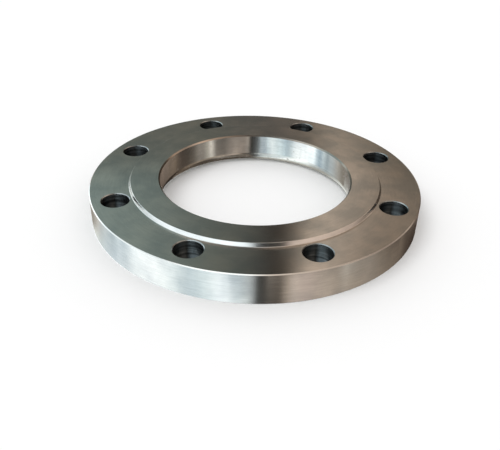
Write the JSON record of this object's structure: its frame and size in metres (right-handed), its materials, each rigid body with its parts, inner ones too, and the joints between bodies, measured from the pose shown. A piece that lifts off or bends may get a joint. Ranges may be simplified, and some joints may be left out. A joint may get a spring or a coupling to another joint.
{
  "type": "lap joint flange",
  "caption": "Flat ring flange with a raised face, a plain bore rounded at the back and a circle of chamfered bolt holes, machined from steel.",
  "frame": {"origin": "centre of the back face, on the bore's axis, where the flange lies on the ground", "axes": "+Z along the bore's axis, from the back face up to the raised face; X and Y are centre lines that pass midway between bolt holes"},
  "size_m": [0.28, 0.28, 0.0285],
  "materials": {
    "turned_steel": "satin"
  },
  "bodies": {
    "root": {"flange": "turned_steel"}
  },
  "joints": []
}
